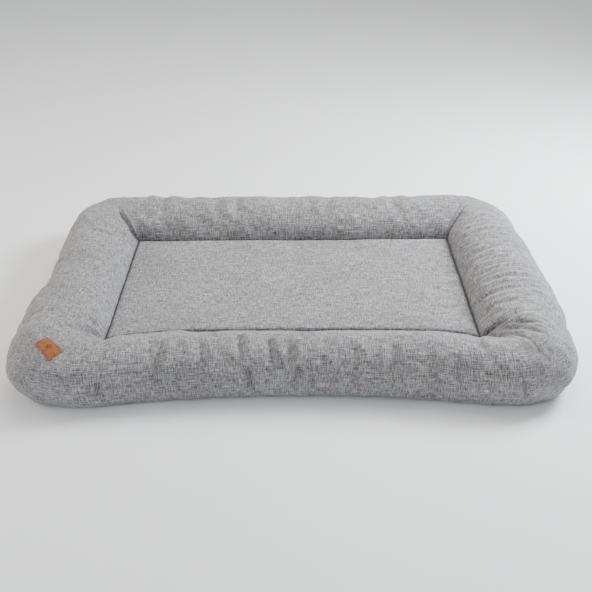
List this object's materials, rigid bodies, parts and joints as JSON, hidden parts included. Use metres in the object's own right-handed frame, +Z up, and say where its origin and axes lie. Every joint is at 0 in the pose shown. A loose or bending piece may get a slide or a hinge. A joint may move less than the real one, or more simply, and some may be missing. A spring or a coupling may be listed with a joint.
{
  "type": "pet cushion bed",
  "caption": "Low rectangular pet bed: a stuffed bolster ring in woven cloth round a flat padded sleeping panel, with a zip in the rear wall and a leather corner label.",
  "frame": {"origin": "on the floor under the middle of the bed, at the centre of its underside", "axes": "+X along the length, to the right seen from the front, +Y towards the rear wall with the zip, +Z up"},
  "size_m": [1.1, 0.79, 0.12],
  "materials": {
    "woven_cloth": "matte",
    "base_cloth": "matte",
    "liner_cloth": "matte",
    "fibre_fill": "matte",
    "foam": "matte",
    "label_leather": "satin",
    "zip_tape": "matte",
    "zip_teeth": "satin",
    "zip_metal": "satin"
  },
  "bodies": {
    "bed": {"bolster_cover": "woven_cloth", "sleeping_panel": "woven_cloth", "base_panel": "base_cloth", "bolster_divider": "liner_cloth", "pad_liner": "liner_cloth", "pad_foam_core": "foam", "pad_wadding_top": "fibre_fill", "pad_wadding_bottom": "fibre_fill", "bolster_liner_front": "liner_cloth", "bolster_liner_right": "liner_cloth", "bolster_liner_back": "liner_cloth", "bolster_liner_left": "liner_cloth", "bolster_fibre_front": "fibre_fill", "bolster_fibre_right": "fibre_fill", "bolster_fibre_back": "fibre_fill", "bolster_fibre_left": "fibre_fill", "leather_label": "label_leather", "zip_tape_upper": "zip_tape", "zip_tape_lower": "zip_tape", "zip_chain_upper": "zip_teeth", "zip_chain_lower": "zip_teeth", "zip_top_stop_upper": "zip_metal", "zip_top_stop_lower": "zip_metal", "zip_bottom_stop": "zip_metal"},
    "slider": {"zip_slider": "zip_metal"},
    "pull": {"zip_pull": "zip_metal"}
  },
  "joints": [
    {"name": "zip_slide", "type": "slide", "parent": "bed", "child": "slider", "axis": [1, 0, 0], "range_m": [0, 0.442]},
    {"name": "zip_pull_hinge", "type": "hinge", "parent": "slider", "child": "pull", "pos_m": [-0.221, 0.3896, 0.0515], "axis": [0, 0, 1], "range_deg": [0, 180]}
  ]
}
